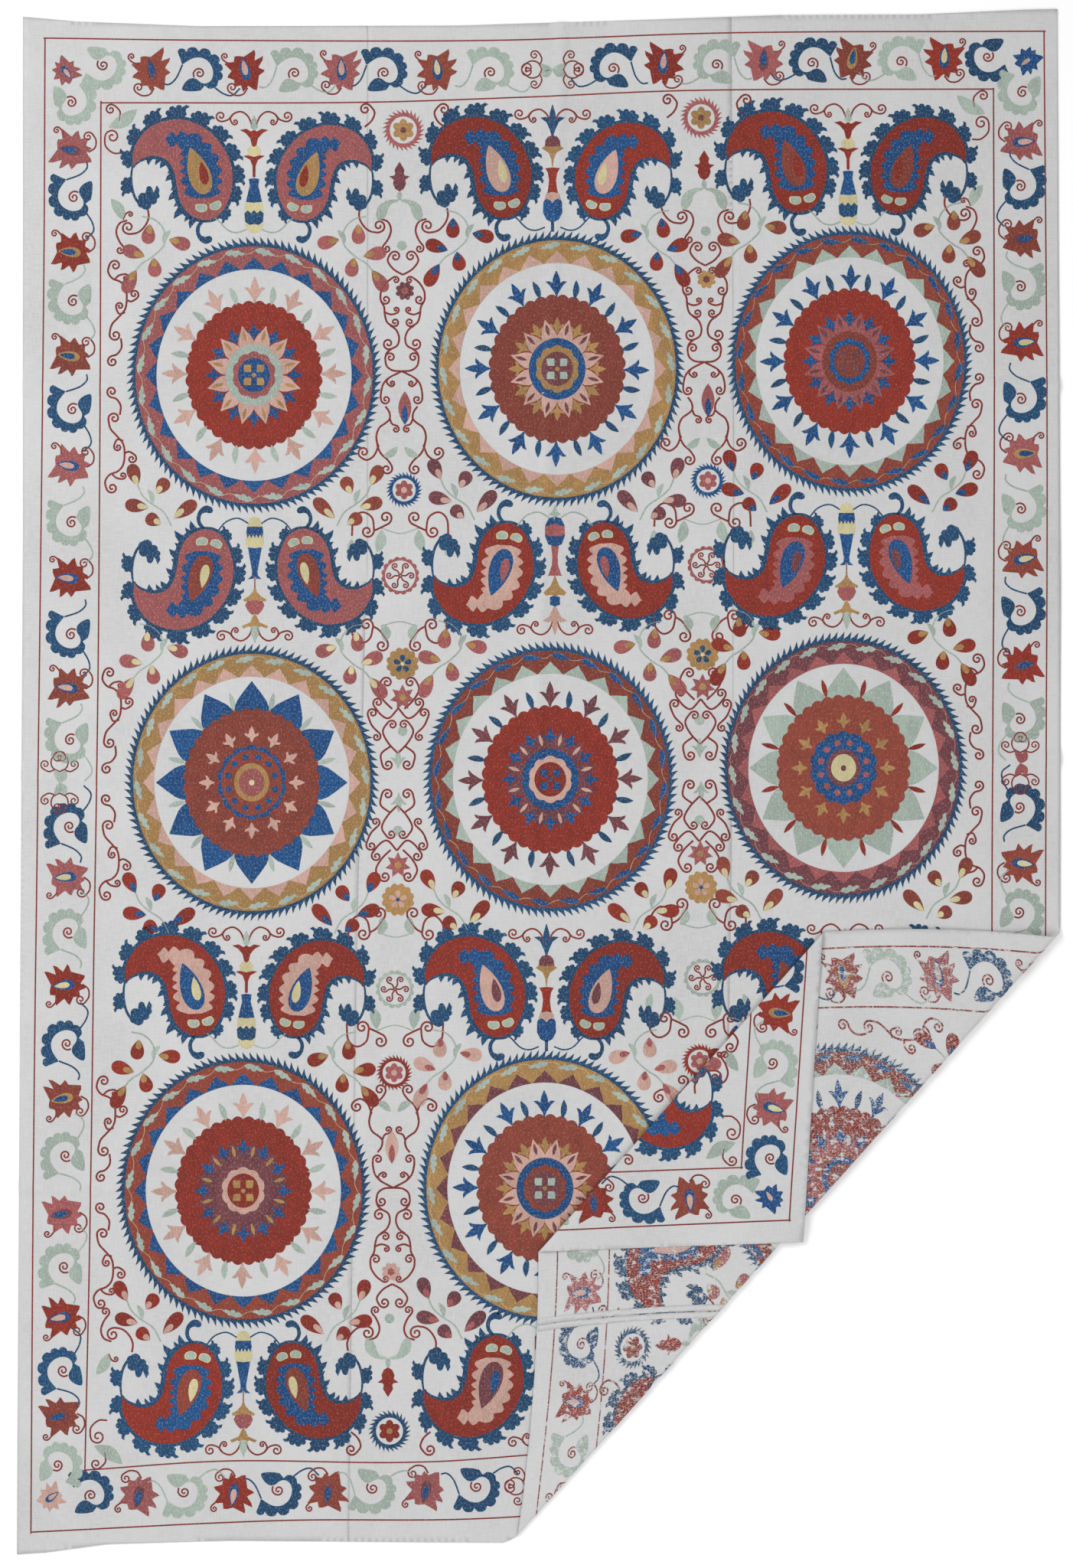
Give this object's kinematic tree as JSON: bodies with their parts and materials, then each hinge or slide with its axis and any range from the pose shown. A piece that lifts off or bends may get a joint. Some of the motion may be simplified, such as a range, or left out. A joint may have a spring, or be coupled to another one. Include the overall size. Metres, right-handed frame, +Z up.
{
  "type": "suzani embroidered bedspread",
  "caption": "Cotton bedspread of sewn panels with silk rosettes, almond motifs and a vine border, laid flat with one corner folded back over itself.",
  "frame": {"origin": "on the floor under the middle of the cloth as it lies", "axes": "+Y towards the top edge of the cloth, +X to its right side, +Z up from the floor"},
  "size_m": [1.512, 2.2375, 0.0139],
  "materials": {
    "cotton_left": "undyed hand-loomed cotton, plain weave",
    "cotton_middle": "undyed hand-loomed cotton, plain weave",
    "cotton_right": "undyed hand-loomed cotton, plain weave",
    "silk_red": "couched silk thread, madder red",
    "silk_brick": "couched silk thread, brown red",
    "silk_rose": "couched silk thread, rose",
    "silk_pink": "couched silk thread, pale pink",
    "silk_blue": "couched silk thread, blue",
    "silk_teal": "couched silk thread, grey blue",
    "silk_sage": "couched silk thread, pale sage green",
    "silk_gold": "couched silk thread, gold",
    "silk_pale": "couched silk thread, pale yellow",
    "silk_plum": "couched silk thread, plum",
    "silk_line": "chain stitch in dark red silk"
  },
  "bodies": {
    "root": {"left_panel": "cotton_left", "middle_panel": "cotton_middle", "right_panel": "cotton_right"}
  },
  "joints": []
}
